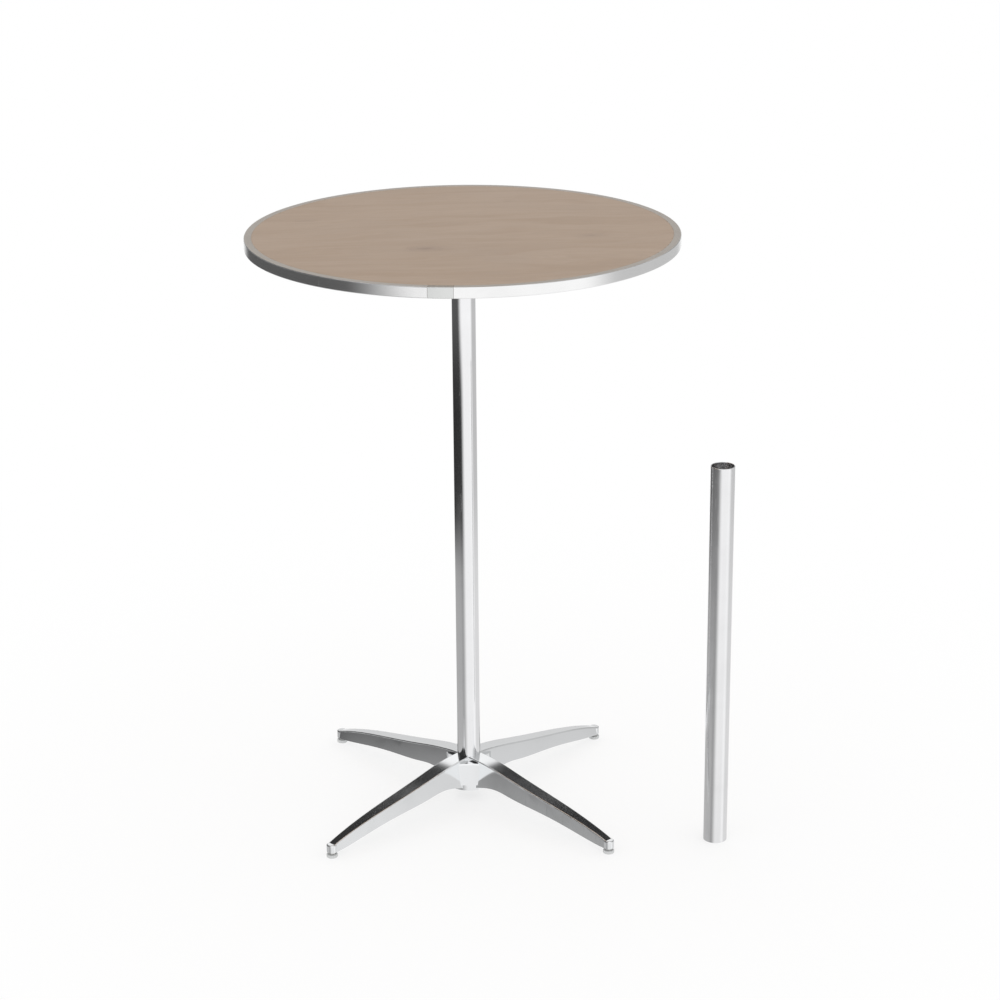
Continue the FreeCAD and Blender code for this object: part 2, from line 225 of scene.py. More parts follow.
def weld_bead(name, radius, height, leg):
    """Rippled bead in the corner between a round wall and the plate above it."""
    section = [(radius + out * leg, height - down * leg) for out, down in WELD_SECTION]
    obj = turned(name, section, WELD_SIDES, closed=True)
    step = 2 * math.pi / WELD_SIDES
    inner, upper = radius + 0.2 * leg, height - 0.1 * leg
    start_edit()
    pick("verts", lambda v: v.co.xy.length > inner and v.co.z < upper
         and round(math.atan2(v.co.y, v.co.x) / step) % WELD_RIPPLE == 0)
    swell = 1 + WELD_SWELL * leg / radius
    bpy.ops.transform.resize(value=(swell, swell, 1), center_override=(0, 0, height))
    end_edit()
    smooth(obj, degrees=60)
    return obj


SCREW_SIDES = 40
RECESS_TAPER = 0.55


def cross_screw(name, section, reach, width, depth):
    """Turned screw, head down, with a tapered cross recess in its head."""
    screw = turned(name, section, SCREW_SIDES)
    face = section[0][1]
    for turn in (0, math.pi / 2):
        clear()
        bpy.ops.mesh.primitive_cube_add(size=1, location=(0, 0, face), rotation=(0, 0, turn))
        blade = bpy.context.object
        blade.scale = (2 * reach, width, 2 * depth)
        place_mesh(blade)
        start_edit("FACE")
        pick("faces", lambda f: f.normal.z > 0.9)
        bpy.ops.transform.resize(value=(RECESS_TAPER, RECESS_TAPER, 1),
                                 center_override=(0, 0, face + depth))
        end_edit()
        combine(screw, blade, "DIFFERENCE")
    return screw


# Thread: rings of points for each turn, steps of the groove's depth, and depths in pitches
THREAD_SIDES = 36
THREAD_RINGS = 6
THREAD_LEVELS = 6
THREAD_DEPTH = 0.58
THREAD_END_DEPTH = 0.6


def threaded_rod(name, radius, pitch, low, high):
    """Rod on the axis with a screw thread: rings of points, drawn in where the groove passes."""
    count = int((high - low) / pitch * THREAD_RINGS)
    heights = [low + (high - low) * step / count for step in range(1, count)]
    tip = radius - THREAD_END_DEPTH * pitch
    section = [(tip, low)] + [(radius, height) for height in heights] + [(tip, high)]
    rod = turned(name, section, THREAD_SIDES)

    def groove(point):
        phase = (point.z - low) / pitch - math.atan2(point.y, point.x) / (2 * math.pi)
        return 1 - abs(2 * (phase % 1) - 1)

    start_edit()
    for level in range(1, THREAD_LEVELS + 1):
        pick("verts", lambda v: v.co.xy.length > radius - MERGE_GAP and low < v.co.z < high
             and round(groove(v.co) * THREAD_LEVELS) == level)
        slim = 1 - THREAD_DEPTH * pitch / radius * level / THREAD_LEVELS
        bpy.ops.transform.resize(value=(slim, slim, 1), center_override=(0, 0, low))
    end_edit()
    return rod


def hex_nut(name, flats, low, high, edge):
    """Hexagon on the axis with eased edges."""
    clear()
    bpy.ops.mesh.primitive_cylinder_add(vertices=6, radius=flats / math.sqrt(3), depth=high - low,
                                        location=(0, 0, (low + high) / 2))
    nut = bpy.context.object
    nut.name = name
    place_mesh(nut)
    start_edit("EDGE")
    pick_all()
    bpy.ops.mesh.bevel(offset=edge, segments=2)
    end_edit()
    return nut


SCREW_TURN = 2.4


def ring_of(name, pattern, count, circle, first):
    """Copies of a screw evenly round the table's axis, each turned a little, as one object."""
    copies = []
    for number in range(count):
        bearing = first + 2 * math.pi * number / count
        copy = copy_of(pattern)
        copy.rotation_euler.z = SCREW_TURN * number
        copy.location = (circle * math.cos(bearing), circle * math.sin(bearing), 0)
        place_mesh(copy)
        copies.append(copy)
    bpy.data.objects.remove(pattern)
    return join(name, copies)


def give(obj, material):
    """Give an object one material."""
    obj.data.materials.clear()
    obj.data.materials.append(material)


def hand_over(obj, body, slot, material, *nodes):
    """Give a finished piece its body and material, and hide the nodes that it stands for; the slot
    is not used.
    """
    give(obj, material)
    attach(obj, body)
    if nodes:
        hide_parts(*nodes)


# Shader helpers

class Wire:
    """Socket of a shader, with arithmetic that adds Math nodes."""

    def __init__(self, finish, socket):
        self.finish = finish
        self.socket = socket

    def _math(self, operation, *values):
        return self.finish.node("ShaderNodeMath", {"operation": operation}, dict(enumerate(values)))

    def __add__(self, other):
        return self._math("ADD", self, other)

    def __radd__(self, other):
        return self._math("ADD", other, self)

    def __sub__(self, other):
        return self._math("SUBTRACT", self, other)

    def __rsub__(self, other):
        return self._math("SUBTRACT", other, self)

    def __mul__(self, other):
        return self._math("MULTIPLY", self, other)

    def __rmul__(self, other):
        return self._math("MULTIPLY", other, self)

    def __truediv__(self, other):
        return self._math("DIVIDE", self, other)

    def __rtruediv__(self, other):
        return self._math("DIVIDE", other, self)

    def __pow__(self, other):
        return self._math("POWER", self, other)

    def __abs__(self):
        return self._math("ABSOLUTE", self)

    def most(self, other):
        """The larger of two."""
        return self._math("MAXIMUM", self, other)

    def sine(self):
        """Sine of an angle in radians."""
        return self._math("SINE", self)

    def bounce(self, height):
        """Zigzag between 0 and a height."""
        return self._math("PINGPONG", self, height)

    def span(self, low, high):
        """0 before low and 1 past high, with a smooth way between; low may be the larger."""
        settings = {"interpolation_type": "SMOOTHSTEP"}
        return self.finish.node("ShaderNodeMapRange", settings, {0: self, 1: low, 2: high})

    def between(self, rise, fall):
        """1 between two smooth edges and 0 outside them."""
        return self.span(*rise) * self.span(*fall)


class Finish:
    """Node tree of one material or of the world."""

    def __init__(self, owner):
        owner.use_nodes = True
        self.tree = owner.node_tree
        self.tree.nodes.clear()

    def node(self, kind, settings=None, inputs=None, out=0):
        """Add a node: its settings first, then the values or links of its sockets."""
        made = self.tree.nodes.new(kind)
        for key, setting in (settings or {}).items():
            setattr(made, key, setting)
        for key, entry in (inputs or {}).items():
            if isinstance(entry, Wire):
                self.tree.links.new(entry.socket, made.inputs[key])
            else:
                made.inputs[key].default_value = entry
        return Wire(self, made.outputs[out]) if len(made.outputs) else made

    def coords(self, scale=(1, 1, 1), turn=(0, 0, 0)):
        """Object coordinates, turned and stretched."""
        where = self.node("ShaderNodeTexCoord", out="Object")
        return self.node("ShaderNodeMapping", None,
                         {"Vector": where, "Rotation": turn, "Scale": scale})

    def axes(self, vector):
        """The three parts of a vector."""
        split = self.node("ShaderNodeSeparateXYZ", None, {0: vector})
        return [Wire(self, socket) for socket in split.socket.node.outputs]

    def vector(self, x, y, z):
        """Vector of three parts."""
        return self.node("ShaderNodeCombineXYZ", None, {0: x, 1: y, 2: z})

    def noise(self, vector, scale, detail=4.0, rough=0.5, warp=0.0):
        """Cloudy pattern from 0 to 1."""
        return self.node("ShaderNodeTexNoise", None,
                         {"Vector": vector, "Scale": scale, "Detail": detail,
                          "Roughness": rough, "Distortion": warp})

    def blend(self, factor, first, second):
        """Mix two colours."""
        first, second = (entry if isinstance(entry, Wire) else tuple(entry) + (1,)
                         for entry in (first, second))
        return self.node("ShaderNodeMix", {"data_type": "RGBA"},
                         {0: factor, 6: first, 7: second}, out=2)

    def bump(self, height, distance, strength):
        """Normal that a height gives."""
        return self.node("ShaderNodeBump", None,
                         {"Strength": strength, "Distance": distance, "Height": height})

    def surface(self, **sockets):
        """Principled surface with its sockets set, as the material's output."""
        names = {key.replace("_", " ").title().replace("Ior", "IOR"): entry
                 for key, entry in sockets.items()}
        shader = self.node("ShaderNodeBsdfPrincipled", None, names)
        self.node("ShaderNodeOutputMaterial", None, {"Surface": shader})


def new_finish(name):
    """Empty material and its node tree."""
    material = bpy.data.materials.new(name)
    return material, Finish(material)


# Veneer's knots: place to the right and to the back and size in metres, and depth of colour
KNOTS = ((-0.07, -0.112, 0.030, 0.75), (0.22, -0.05, 0.022, 0.45), (-0.27, 0.12, 0.016, 0.3),
         (0.10, 0.23, 0.014, 0.25))
KNOT_LENGTH = 1.9
KNOT_RINGS = 30.0
KNOT_RAGGED = 0.5
# Veneer's layers: how far the grain is turned, and how often each repeats along and across it
GRAIN_TURN = math.radians(-4)
FIGURE_ALONG, FIGURE_ACROSS = 1.1, 9.0
FIBRE_ALONG, FIBRE_ACROSS = 9.0, 420.0
PORE_ALONG, PORE_ACROSS = 26.0, 900.0
GROWTH_RINGS = 95.0
# How far the veneer's grain sways, and how it bends round a knot
FIGURE_SWAY, FIBRE_SWAY, KNOT_SWAY = 2.2, 14.0, 0.9
# How strongly each of the veneer's layers shows
RING_SHOW, FIBRE_SHOW, PATCH_SHOW, PORE_SHOW, HEART_SHOW = 0.22, 0.3, 0.3, 0.28, 0.5
# Roughness of the lacquer and what the layers add to it, and how deep fibres and pores are
WOOD_ROUGH, FIBRE_ROUGH, PORE_ROUGH, RING_GLOSS = 0.42, 0.12, 0.08, 0.03
FIBRE_RELIEF, PORE_RELIEF = 0.5, 0.6


def knot_masks(f, x, y):
    """Masks of the knots and of their dark hearts."""
    ragged = (f.noise(f.coords(scale=(1, 2, 1)), scale=55.0, detail=3.0) - 0.5) * KNOT_RAGGED
    knots, hearts = None, None
    for right, back, size, depth in KNOTS:
        dx = (x - right) / (size * KNOT_LENGTH)
        dy = (y - back) / size
        reach = (dx * dx + dy * dy) ** 0.5 + ragged
        eye = (reach * KNOT_RINGS).sine() * 0.25 + 0.75
        knot = (1 - reach.span(0.1, 1.0)) * eye * depth
        heart = (1 - reach.span(0.08, 0.32)) * depth
        knots = knot if knots is None else knots.most(knot)
        hearts = heart if hearts is None else hearts.most(heart)
    return knots, hearts


def wood_finish(look):
    """Lacquered plywood veneer: fibres, broad figure, growth rings, pores and a few knots."""
    material, f = new_finish("lacquered_plywood")
    x, y, z = f.axes(f.coords(turn=(0, 0, GRAIN_TURN)))
    sway = f.noise(f.coords(scale=(1.2, 4.0, 1)), scale=1.6, detail=3.0)
    knots, hearts = knot_masks(f, x, y)
    figure_at = f.vector(x * FIGURE_ALONG,
                         y * FIGURE_ACROSS + sway * FIGURE_SWAY + knots * KNOT_SWAY, z)
    figure = f.noise(figure_at, scale=3.2, detail=5.0, rough=0.55, warp=0.4)
    broad = f.noise(figure_at, scale=1.6, detail=2.0, rough=0.45, warp=0.3)
    rings = (broad * GROWTH_RINGS).sine().span(-0.1, 0.95)
    fibre_at = f.vector(x * FIBRE_ALONG, y * FIBRE_ACROSS + sway * FIBRE_SWAY, z * FIBRE_ALONG)
    fibre = f.noise(fibre_at, scale=1.0, detail=6.0, rough=0.65)
    pore_at = f.vector(x * PORE_ALONG, y * PORE_ACROSS, z)
    pores = f.noise(pore_at, scale=1.0, detail=2.0).span(0.62, 0.74)
    patches = f.noise(f.coords(), scale=4.5, detail=2.0)
    base = f.blend(figure.span(0.32, 0.72), look.wood_light, look.wood_dark)
    base = f.blend(rings * RING_SHOW, base, look.wood_fibre)
    base = f.blend(fibre.span(0.35, 0.75) * FIBRE_SHOW, base, look.wood_fibre)
    base = f.blend(patches.span(0.45, 0.75) * PATCH_SHOW, base, look.wood_grey)
    base = f.blend(pores * PORE_SHOW, base, look.wood_pore)
    base = f.blend(knots, base, look.wood_knot)
    base = f.blend(hearts * HEART_SHOW, base, look.wood_pore)
    rough = WOOD_ROUGH + fibre * FIBRE_ROUGH + pores * PORE_ROUGH - rings * RING_GLOSS
    relief = fibre * FIBRE_RELIEF - pores * PORE_RELIEF
    f.surface(base_color=base, roughness=rough,
              normal=f.bump(relief, distance=0.02 * MM, strength=0.6),
              coat_weight=0.12, coat_roughness=0.3, specular_ior_level=0.35)
    return material


# Metal: how its brushed lines and hairline scratches are stretched, and how smears and a lip show
UPRIGHT_BRUSH = (1, 1, 40)
EVEN_BRUSH = (1, 1, 1)
HAIR_STRETCH, HAIR_TURN = (260, 18, 18), (0.4, 0.2, 0.7)
SMEAR_SHOW, SMEAR_DARK, SMEAR_ROUGH = 0.5, 0.94, 0.4
LIP_ROUGH = 0.16
THREAD_RELIEF = 40


def metal_finish(name, colour, rough=0.28, brush=0.06, scratch=0.1, stretch=UPRIGHT_BRUSH,
                 lip=None, thread=None):
    """Polished or satin metal with fine lines, faint smears and hairline scratches.

    A lip is the duller colour of a flat lip inside a radius; a thread is the pitch of a screw's
    ridges."""
    material, f = new_finish(name)
    lines = f.noise(f.coords(scale=stretch), scale=60.0, detail=3.0, rough=0.6)
    smears = f.noise(f.coords(), scale=14.0, rough=0.6, warp=0.5)
    hair_at = f.coords(scale=HAIR_STRETCH, turn=HAIR_TURN)
    hair = f.noise(hair_at, scale=1.0, detail=2.0).span(0.68, 0.72)
    tint = f.blend(smears.span(0.3, 0.8) * SMEAR_SHOW, colour, [c * SMEAR_DARK for c in colour])
    height = lines * brush + hair * scratch
    roughness = rough + smears.span(0.45, 0.8) * (rough * SMEAR_ROUGH) + height
    if lip:
        inner, outer, dull = lip
        x, y, _ = f.axes(f.coords())
        flat = ((x * x + y * y) ** 0.5).span(outer, inner)
        tint = f.blend(flat, tint, dull)
        roughness = roughness + flat * LIP_ROUGH
    if thread:
        _, _, z = f.axes(f.coords())
        height = height + z.bounce(thread / 2) * (THREAD_RELIEF / thread)
    f.surface(base_color=tint, metallic=1.0, roughness=roughness,
              normal=f.bump(height, distance=0.01 * MM, strength=0.3))
    return material


# Coating and plastic: how dust and scuffs show
DUST_SHOW, DUST_PALE, DUST_ROUGH = 0.25, 0.05, 0.12
SCUFF_SHOW, SCUFF_FADE, SCUFF_PALE, SCUFF_ROUGH = 0.3, 0.8, 0.04, 0.1


def paint_finish(name, colour, rough):
    """Powder coat: fine orange peel and dust."""
    material, f = new_finish(name)
    peel = f.noise(f.coords(), scale=900.0, detail=2.0)
    dust = f.noise(f.coords(), scale=40.0, detail=5.0, rough=0.65)
    tone = f.blend(dust.span(0.5, 0.8) * DUST_SHOW, colour, [c + DUST_PALE for c in colour])
    f.surface(base_color=tone, roughness=rough + dust * DUST_ROUGH,
              normal=f.bump(peel, distance=0.06 * MM, strength=0.4))
    return material


def plastic_finish(name, colour, rough):
    """Moulded plastic: fine grain and scuffs."""
    material, f = new_finish(name)
    grain = f.noise(f.coords(), scale=1400.0, detail=2.0)
    scuffs = f.noise(f.coords(scale=(1, 1, 3)), scale=180.0, rough=0.7).span(0.55, 0.8)
    tone = f.blend(scuffs * SCUFF_SHOW, colour, [c * SCUFF_FADE + SCUFF_PALE for c in colour])
    f.surface(base_color=tone, roughness=rough + scuffs * SCUFF_ROUGH,
              normal=f.bump(grain, distance=0.03 * MM, strength=0.5))
    return material


# Sizes and colours that a user would change

def length(name, words, millimetres):
    """Property of a length."""
    return FloatProperty(name=name, description=words, unit="LENGTH", min=0, precision=5,
                         default=millimetres * MM)


def swatch(name, words, default):
    """Property of a linear colour."""
    return FloatVectorProperty(name=name, description=words, subtype="COLOR", size=3, min=0, max=1,
                               default=default)


class TableSizes(bpy.types.PropertyGroup):
    """Sizes of the details."""

    tube_sides: IntProperty(name="Tube sides", description="Sides of a column's tube",
                            default=128, min=24)
    tube_wall: length("Tube wall", "Wall of a column between its plugs", 1.8)
    tube_mouth_wall: length("Mouth wall", "Wall of a column at its reamed ends", 1.45)
    tube_edge: length("Tube edge", "Chamfer round a column's ends", 0.4)
    tube_recess: length("Tube recess", "Depth of a plug behind a column's end", 30)
    weld_leg: length("Weld", "Leg of the weld between collar and plate", 3.6)
    band_lip: length("Band lip", "Width of the edge band's lips", 13)
    band_screw_head: length("Band screw head", "Head radius of the edge band's screws", 2.9)
    band_screw_shank: length("Band screw shank", "Shank radius of the edge band's screws", 1.5)
    plate_screw_head: length("Plate screw head", "Head radius of the plate's screws", 4.6)
    plate_screw_shank: length("Plate screw shank", "Shank radius of the plate's screws", 2.4)
    plate_screw_circle: length("Plate screw circle", "Radius of the circle of plate screws", 85)
    stem_pitch: length("Stem pitch", "Pitch of the glides' threads", 1.25)
    stem_radius: length("Stem radius", "Radius of the glides' stems", 4)
    stem_hex_flats: length("Stem hexagon", "Width across the flats of the glides' hexagons", 13)
    stem_pin: length("Stem pin", "Radius of the pin that holds a glide's pad", 3)
    bolt_pitch: length("Bolt pitch", "Pitch of the threads of the clamp's bolt and the stud", 1.5)


class TableColours(bpy.types.PropertyGroup):
    """Colours of the finishes, linear."""

    wood_light: swatch("Wood light", "Pale bands of the veneer", (0.43, 0.316, 0.228))
    wood_dark: swatch("Wood dark", "Dark bands of the veneer", (0.385, 0.272, 0.187))
    wood_fibre: swatch("Wood fibre", "Fine fibres", (0.33, 0.228, 0.155))
    wood_grey: swatch("Wood grey", "Greyish clouds", (0.40, 0.302, 0.228))
    wood_pore: swatch("Wood pore", "Open pores", (0.22, 0.15, 0.10))
    wood_knot: swatch("Wood knot", "Knots", (0.30, 0.21, 0.155))
    band: swatch("Edge band", "Aluminium of the edge band", (0.95, 0.95, 0.95))
    lip: swatch("Band lip", "Duller aluminium of the edge band's flat lips", (0.5, 0.45, 0.395))
    infill: swatch("Infill piece", "Satin aluminium of the infill piece", (0.83, 0.84, 0.83))
    chrome: swatch("Chrome", "Plating of the columns", (0.92, 0.92, 0.93))
    base: swatch("Base", "Polished casting", (0.91, 0.92, 0.93))
    steel: swatch("Fixings", "Zinc plated steel", (0.62, 0.62, 0.61))
    paint: swatch("Plate", "Black coating of the plate and collar", (0.018, 0.018, 0.02))
    knob: swatch("Knob", "Black moulding", (0.02, 0.02, 0.022))
    glide: swatch("Glides", "Pale nylon", (0.62, 0.63, 0.63))


def sizes():
    """The scene's sizes."""
    return bpy.context.scene.table_sizes


def colours():
    """The scene's colours."""
    return bpy.context.scene.table_colours


# Pieces

# Where the band's dull lips begin and are full, in from its rim
LIP_START, LIP_FULL = 0.4 * MM, 1.5 * MM
COUNTERSINK_EDGE = 0.15 * MM
# Section of a pan head in shares of its radius and height
PAN_HEAD = ((0.62, 0), (0.82, 0.1), (0.95, 0.3), (1, 0.55))
# A glide's stem: room at its hexagon's faces, overlap of its forms, and eased edges
HEX_ROOM, STEM_OVERLAP = 0.1 * MM, 0.5 * MM
HEX_EDGE, PIN_EDGE, PIN_SIDES = 0.35 * MM, 0.3 * MM, 32


class TABLE_OT_top(bpy.types.Operator):
    """Finish the wooden top"""
    bl_idname = "table.top"
    bl_label = "Top"

    def execute(self, context):
        give(NODES["tabletop_panel"], wood_finish(colours()))
        return {"FINISHED"}


class TABLE_OT_band(bpy.types.Operator):
    """Finish the edge band and its infill piece, and model its screws"""
    bl_idname = "table.band"
    bl_label = "Edge Band"

    def execute(self, context):
        look, size = colours(), sizes()
        rim = node_radius("edge_band")
        lip = (rim - LIP_FULL, rim - LIP_START, tuple(look.lip))
        give(NODES["edge_band"], metal_finish("band_aluminium", look.band, rough=0.13, brush=0.04,
                                              scratch=0.06, lip=lip))
        give(NODES["edge_band_infill"], metal_finish("infill_aluminium", look.infill, rough=0.3,
                                                     brush=0.08, scratch=0.08, lip=lip))
        self.screws(look, size, rim - size.band_lip / 2)
        return {"FINISHED"}

    def screws(self, look, size, circle):
        """Countersunk screws in the band's lower lip."""
        low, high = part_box("edge_band_screws")
        head, shank, edge = size.band_screw_head, size.band_screw_shank, COUNTERSINK_EDGE
        section = [(head - edge, low.z), (head, low.z + edge), (shank, low.z + head - shank),
                   (shank, high.z - shank), (SCREW_POINT, high.z)]
        screw = cross_screw("band_screw", section,
                            reach=0.62 * head, width=0.26 * head, depth=0.4 * head)
        piece = ring_of("band_cross_screws", screw, BAND_SCREWS, circle,
                        node_bearing("edge_band_infill"))
        smooth(piece)
        hand_over(piece, "table", "fixing_steel", metal_finish("screw_steel", look.steel),
                  "edge_band_screws")


class TABLE_OT_plate(bpy.types.Operator):
    """Finish the plate under the top, its stud and collar, and model its screws and weld"""
    bl_idname = "table.plate"
    bl_label = "Plate"

    def execute(self, context):
        look, size = colours(), sizes()
        paint = paint_finish("plate_coating", look.paint, rough=0.45)
        for node in ("mounting_plate", "column_collar"):
            give(NODES[node], paint)
        give(NODES["plate_stud"], metal_finish("stud_steel", look.steel, thread=size.bolt_pitch))
        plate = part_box("mounting_plate")[0].z
        weld = weld_bead("collar_weld", node_radius("column_collar"), plate, size.weld_leg)
        hand_over(weld, "table", "plate_paint", paint)
        self.screws(look, size, plate)
        return {"FINISHED"}

    def screws(self, look, size, plate):
        """Pan-head screws through the plate."""
        low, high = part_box("plate_screws")
        head, shank, rise = size.plate_screw_head, size.plate_screw_shank, plate - low.z
        section = [(across * head, low.z + up * rise) for across, up in PAN_HEAD]
        section += [(head, plate), (shank, plate), (shank, high.z - shank), (SCREW_POINT, high.z)]
        screw = cross_screw("plate_screw", section,
                            reach=0.58 * head, width=0.22 * head, depth=0.36 * head)
        piece = ring_of("plate_cross_screws", screw, PLATE_SCREWS, size.plate_screw_circle,
                        node_bearing("edge_band_infill"))
        smooth(piece)
        hand_over(piece, "table", "fixing_steel", metal_finish("plate_steel", look.steel),
                  "plate_screws")


class TABLE_OT_columns(bpy.types.Operator):
    """Model the two columns and finish their plugs"""
    bl_idname = "table.columns"
    bl_label = "Columns"

    def execute(self, context):
        look, size = colours(), sizes()
        plug = metal_finish("plug_steel", look.steel, rough=0.35)
        for column, body, rough in (("column", "table", 0.06),
                                    ("short_column", "short_column", 0.17)):
            slot = column + "_chrome"
            chrome = metal_finish(slot, look.chrome, rough, brush=0.03, scratch=0.05)
            shell = tube(column + "_shell", column + "_tube", size)
            hand_over(shell, body, slot, chrome, column + "_tube")
            for end in ("_lower_plug", "_upper_plug"):
                give(NODES[column + end], plug)
        return {"FINISHED"}


class TABLE_OT_base(bpy.types.Operator):
    """Finish the cast base"""
    bl_idname = "table.base"
    bl_label = "Base"

    def execute(self, context):
        give(NODES["base_casting"], metal_finish("polished_casting", colours().base, rough=0.09,
                                                 brush=0.02, scratch=0.04, stretch=EVEN_BRUSH))
        return {"FINISHED"}


class TABLE_OT_clamp(bpy.types.Operator):
    """Finish the clamp under the hub"""
    bl_idname = "table.clamp"
    bl_label = "Clamp"

    def execute(self, context):
        look = colours()
        give(NODES["clamp_knob"], plastic_finish("knob_plastic", look.knob, rough=0.5))
        give(NODES["clamp_washer"], metal_finish("washer_steel", look.steel, rough=0.3))
        give(NODES["clamp_bolt"], metal_finish("bolt_steel", look.steel, thread=sizes().bolt_pitch))
        return {"FINISHED"}


class TABLE_OT_glides(bpy.types.Operator):
    """Finish the glides under the legs and model their threaded stems"""
    bl_idname = "table.glides"
    bl_label = "Glides"

    def execute(self, context):
        look = colours()
        nylon = plastic_finish("glide_nylon", look.glide, rough=0.45)
        steel = metal_finish("stem_steel", look.steel)
        pattern = self.stem(sizes())
        for foot in FEET:
            give(NODES["glide_pad_" + foot], nylon)
            node = "glide_stem_" + foot
            spot = node_centre(node)
            stem = copy_of(pattern)
            stem.name = "threaded_stem_" + foot
            stem.location = (spot.x, spot.y, 0)
            stem.rotation_euler.z = math.atan2(spot.y, spot.x)
            place_mesh(stem)
            hand_over(stem, node, "fixing_steel", steel, node)
        bpy.data.objects.remove(pattern)
        return {"FINISHED"}

    def stem(self, size):
        """Stem on the table's axis: threaded rod, hexagon and the pin that holds the pad."""
        low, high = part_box("glide_stem_" + FEET[0])
        hex_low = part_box("glide_pad_" + FEET[0])[1].z + HEX_ROOM
        hex_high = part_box("base_casting")[0].z - HEX_ROOM
        stem = hex_nut("stem", size.stem_hex_flats, hex_low, hex_high, HEX_EDGE)
        rod = threaded_rod("rod", size.stem_radius, size.stem_pitch, hex_high - STEM_OVERLAP,
                           high.z)
        combine(stem, rod, "UNION")
        pin = [(size.stem_pin - PIN_EDGE, low.z), (size.stem_pin, low.z + PIN_EDGE),
               (size.stem_pin, hex_low + STEM_OVERLAP)]
        combine(stem, turned("pin", pin, PIN_SIDES), "UNION")
        smooth(stem, degrees=50)
        return stem


# Stage

CAMERA_PLACE = (-0.01446, -4.49790, 2.15651)
CAMERA_RIGHT = (0.99978871, -0.01934465, -0.00695083)
CAMERA_UP = (0.01294056, 0.32960162, 0.94403142)
CAMERA_FORWARD = (0.01597095, 0.9439219, -0.32978231)
CAMERA_LENS = 94.94
CAMERA_SENSOR = 36
CAMERA_REACH = 50

FLOOR_RADIUS, FLOOR_SIDES = 6.0, 128
FLOOR_FADE = (0.6, 2.0)
FLOOR_GLOW, FLOOR_FAR_GLOW = 0.7, 0.3
WHITE = (1, 1, 1, 1)

# The studio that metal mirrors, in degrees: a turn is a bearing, 0 in front, negative on the left,
# and a lift is above the horizon. Each pair leads from where a wall is absent to where it is full.
FRONT_TURN, BACK_TURN = (70.0, 40.0), (120.0, 150.0)
LEFT_TURN, LEFT_END = (-24.0, -66.0), (-172.0, -150.0)
RIGHT_TURN, RIGHT_END = (62.0, 90.0), (172.0, 150.0)
BELOW_LIFT, BELOW_SHIFT = (-15.0, -17.0), 20.0
WALL_FOOT, WALL_HEAD = (-21.0, -19.5), (48.0, 36.0)
STRIP_FOOT, STRIP_HEAD = (-8.0, -2.0), (15.0, 9.0)
HIGH_FOOT, HIGH_HEAD = (4.0, 12.0), (60.0, 45.0)
HIGH_LEFT_TURN, HIGH_LEFT_END = (-4.0, -24.0), (-150.0, -110.0)
HIGH_RIGHT_TURN, HIGH_RIGHT_END = (28.0, 60.0), (150.0, 110.0)
LEFT_FLOOR_LIFT, LEFT_FLOOR_NEAR = (-19.5, -21.0), (-22.0, -27.0)
RIGHT_FOOT = (-21.5, -18.5)
NEAR_FLOOR_LIFT = (-23.0, -29.0)
FAR_WALL_FOOT, FAR_WALL_HEAD = (-6.0, 0.0), (28.0, 24.0)
CEILING_FOOT, CEILING_HEAD = (34.4, 36.0), (72.0, 58.0)
# How much of the white each part of the studio takes away
LEFT_DARK, LEFT_BELOW_DARK, STRIP_PALE, HIGH_LEFT_DARK = 0.9, 0.07, 0.45, 0.97
LEFT_FLOOR_DARK, LEFT_FLOOR_PALE = 0.58, 0.1
RIGHT_DARK, RIGHT_WALL_DARK, HIGH_RIGHT_DARK = 0.26, 0.19, 0.45
NEAR_FLOOR_DARK, FRONT_BELOW_DARK = 0.16, 0.06
FAR_WALL_DARK, CEILING_DARK = 0.32, 0.95
STUDIO_BLACK = 0.03


